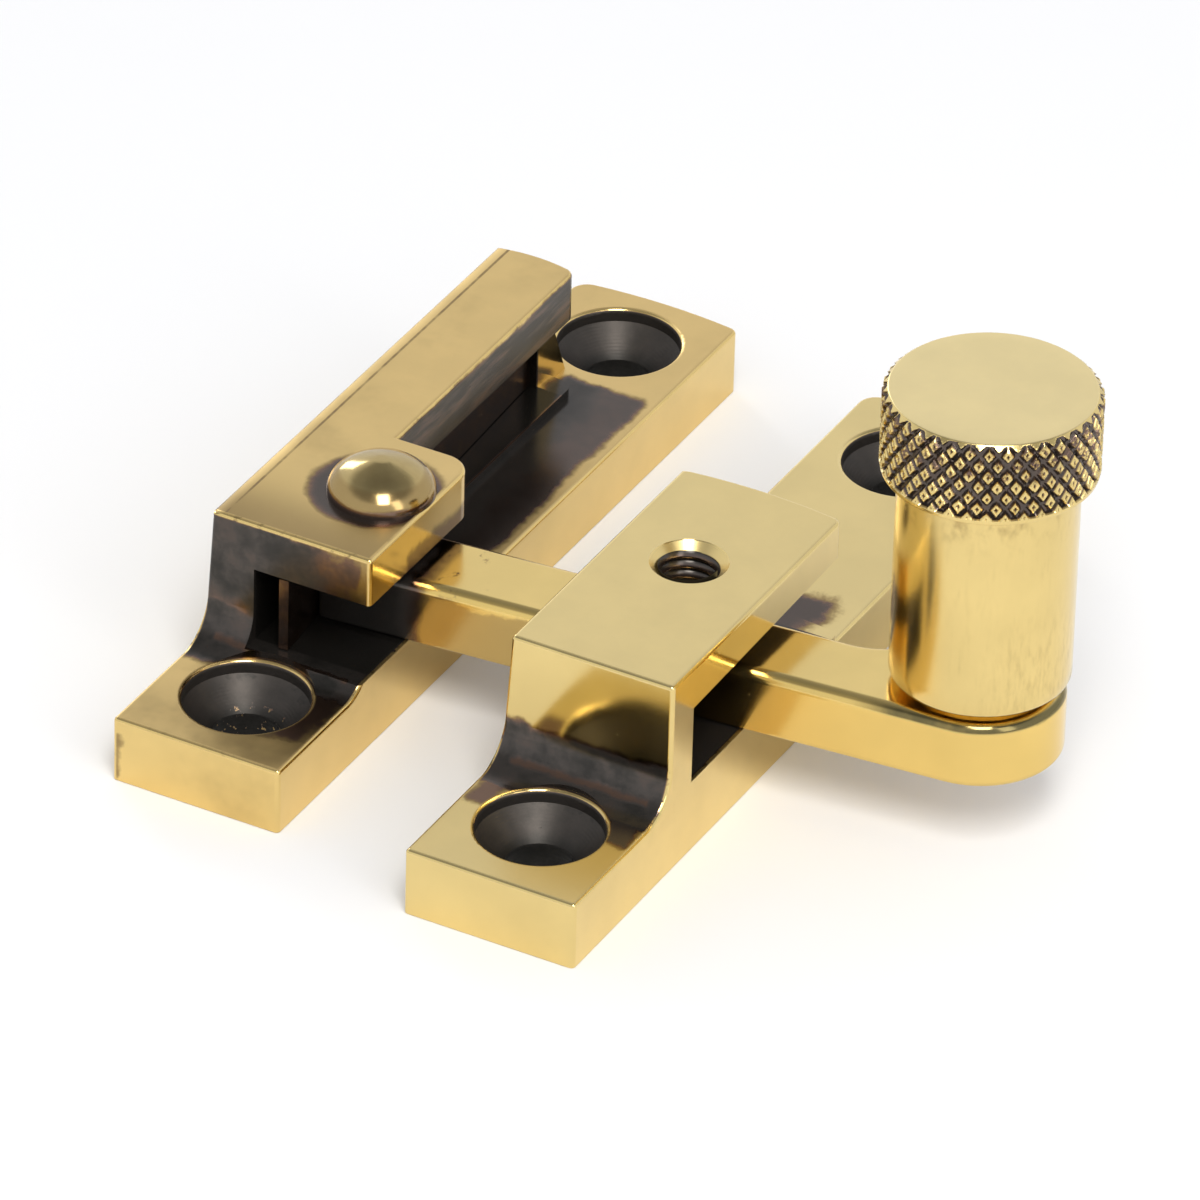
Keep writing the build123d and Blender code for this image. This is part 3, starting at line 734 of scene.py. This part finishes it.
def make_plain_brass(name, brass, amount, roughness):
    """Brass with an even, cloudy patina."""
    graph = Graph(name)
    place = graph.place()
    cloud = graph.noise(place, 0.9, 4, 0.6)["Fac"]
    patina = graph.scaled(graph.smooth(cloud, 0.3, 0.7), amount * 0.7, amount)
    return brass_surface(graph, place, brass, patina, roughness)


def mesh_piece(name, vertices, faces, body, material, groove=None):
    """Mesh object in millimetres that rides on a body."""
    mesh = bpy.data.meshes.new(name)
    mesh.from_pydata([[coordinate * MM for coordinate in vertex] for vertex in vertices], [], faces)
    mesh.validate()
    mesh.update()
    if groove is not None:
        attribute = mesh.attributes.new("groove", "FLOAT", "POINT")
        attribute.data.foreach_set("value", groove)
    mesh.materials.append(material)
    piece = bpy.data.objects.new(name, mesh)
    bpy.context.scene.collection.objects.link(piece)
    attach(piece, body)
    return piece


def smooth_faces(piece, angle):
    """Smooth shading with creases sharper than an angle kept."""
    mesh = piece.data
    mesh.shade_smooth()
    mesh.set_sharp_from_angle(angle=math.radians(angle))


KNURL_COUNT = 36
KNURL_PITCH = 1.66            # along the axis
KNURL_DEPTH = 0.34


def knurl(turn, z, low_z):
    """(depth below the head's radius, groove darkness) of the diamond knurl at a turn from 0 to 1."""
    height = (z - low_z) / KNURL_PITCH
    ways = [(turn * KNURL_COUNT + height) % 1.0, (turn * KNURL_COUNT - height) % 1.0]
    flank = [min(way, 1 - way) for way in ways]
    nearest = min(flank)
    full = 2 * math.pi
    wobble = 0.03 * math.sin(full * (5 * turn + 0.31 * z)) + 0.02 * math.sin(full * (17 * turn - 0.47 * z))
    wall = min(1.0, max(0.0, (nearest - 0.085 - wobble) / 0.15))
    pit = max(0.0, 1.0 - max(0.5 - flank[0], 0.5 - flank[1]) / 0.14)
    fade = min(1.0, max(0.0, (z - low_z) / 0.12))
    depth = KNURL_DEPTH * (1 - wall) * fade + 0.13 * min(1.0, pit * 2) * fade
    dark = max(0.1, (1 - wall) * 1.2, min(1.0, pit * 1.8) * 0.7)
    return depth, min(1.0, dark) * fade


def make_knob():
    """Turned knob with a real knurl cut into its head."""
    around = KNURL_COUNT * 16
    head, top_z = knob_head_radius, knob_high[2]
    shaft, seat = knob_shaft_radius, knob_seat_radius
    seat_z, shaft_z = knob_low[2], knob_low[2] + knob_seat_height
    head_z = knob_head_z
    knurl_low_z, knurl_high_z = head_z + 0.5, top_z - 0.4
    rows = [(seat, seat_z), (seat, shaft_z)]
    rows += [(shaft - 0.35, shaft_z), (shaft - 0.28, shaft_z + 0.02)]
    rows += [(shaft - 0.08, shaft_z + 0.14), (shaft, shaft_z + 0.36)]
    rows += [(shaft, shaft_z + (head_z - shaft_z - 0.4) * step / 12) for step in range(1, 13)]
    rows += [(shaft, head_z - 0.05), (shaft + 0.05, head_z), (head - 0.38, head_z)]
    rows += [(head - 0.30, head_z + 0.02), (head - 0.07, head_z + 0.18)]
    rows += [(head - 0.05, head_z + 0.24), (head - 0.05, knurl_low_z - 0.02)]
    steps = 46
    rows += [(head, knurl_low_z + (knurl_high_z - knurl_low_z) * step / steps) for step in range(steps + 1)]
    rows += [(head - 0.4 * step / 9, knurl_high_z + 0.37 * step / 9) for step in range(1, 10)]
    rows += [(head - 0.44, top_z - 0.005), (head - 0.50, top_z)]
    rows += [(head * share, top_z) for share in (0.8, 0.6, 0.4, 0.2)]

    vertices, groove = [], []
    for radius, z in rows:
        for step in range(around):
            turn = step / around
            depth, dark = 0.0, 0.0
            if z >= knurl_low_z and radius > head - 0.41:
                depth, dark = knurl(turn, z, knurl_low_z)
                depth = max(0.0, depth - (head - radius))
                dark = dark if depth > 0 or z <= knurl_high_z else 0.0
            angle = 2 * math.pi * turn
            vertices.append((
                knob_x + (radius - depth) * math.cos(angle), knob_y + (radius - depth) * math.sin(angle), z
            ))
            groove.append(dark)
    faces = []
    for row in range(len(rows) - 1):
        for step in range(around):
            after = (step + 1) % around
            below, above = row * around, (row + 1) * around
            faces.append((below + step, below + after, above + after, above + step))
    for ring, turned in ((0, True), (len(rows) - 1, False)):
        centre = len(vertices)
        vertices.append((knob_x, knob_y, rows[ring][1]))
        groove.append(0.0)
        for step in range(around):
            pair = (ring * around + step, ring * around + (step + 1) % around)
            faces.append((centre, *(reversed(pair) if turned else pair)))
    knob = mesh_piece("knob_knurled", vertices, faces, "arm", make_knob_brass(), groove)
    smooth_faces(knob, 40)
    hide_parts("knob")


def make_lock_thread():
    """Internal thread of the keep's hole: a helical ridge on its wall."""
    pitch, turns = 0.8, 3
    bottom_z = keep_slot_top_z - 0.1
    crest = lock_radius - 0.27
    wall = lock_radius + 0.02
    section = [(wall, -0.36), (crest, -0.06), (crest, 0.06), (wall, 0.36)]
    per_turn = 72
    count = turns * per_turn + 1
    vertices, groove = [], []
    for step in range(count):
        angle = 2 * math.pi * step / per_turn
        z = bottom_z + 0.35 + pitch * step / per_turn
        taper = min(1.0, step / 12, (count - 1 - step) / 12)
        for radius, rise in section:
            reach = wall + (radius - wall) * taper
            vertices.append((
                lock_place[0] + reach * math.cos(angle), lock_place[1] + reach * math.sin(angle), z + rise
            ))
            groove.append(1.0 if radius == wall else 0.6)
    faces = []
    for step in range(count - 1):
        start, after = 4 * step, 4 * (step + 1)
        for side in range(4):
            other = (side + 1) % 4
            faces.append((start + side, after + side, after + other, start + other))
    faces += [(0, 1, 2, 3), tuple(4 * (count - 1) + i for i in (3, 2, 1, 0))]
    graph = Graph("thread_brass")
    place = graph.place()
    patina = graph.math("MULTIPLY", graph.attribute("groove"), 0.85)
    material = brass_surface(graph, place, (0.60, 0.45, 0.22), patina, (0.45, 0.45))
    thread = mesh_piece("keep_lock_thread", vertices, faces, "keep_half", material, groove)
    smooth_faces(thread, 50)


def dress(name, material):
    """Gives a CAD node its finished material."""
    mesh_object = nodes[name]
    for slot in mesh_object.material_slots:
        slot.material = material


make_camera()
make_studio()
dress("base", make_base_brass())
dress("keep", make_keep_brass())
dress("hook_arm", make_arm_brass())
dress("pivot_rivet", make_rivet_brass())
dress("pivot_washer", make_plain_brass("washer_brass", (0.70, 0.50, 0.22), 0.5, (0.3, 0.25)))
dress("knob_screw", make_plain_brass("screw_brass_turned", (0.72, 0.52, 0.22), 0.3, (0.28, 0.2)))
dress("leaf_spring", make_plain_brass("spring_bronze_aged", (0.55, 0.36, 0.22), 0.55, (0.3, 0.26)))
make_knob()
make_lock_thread()
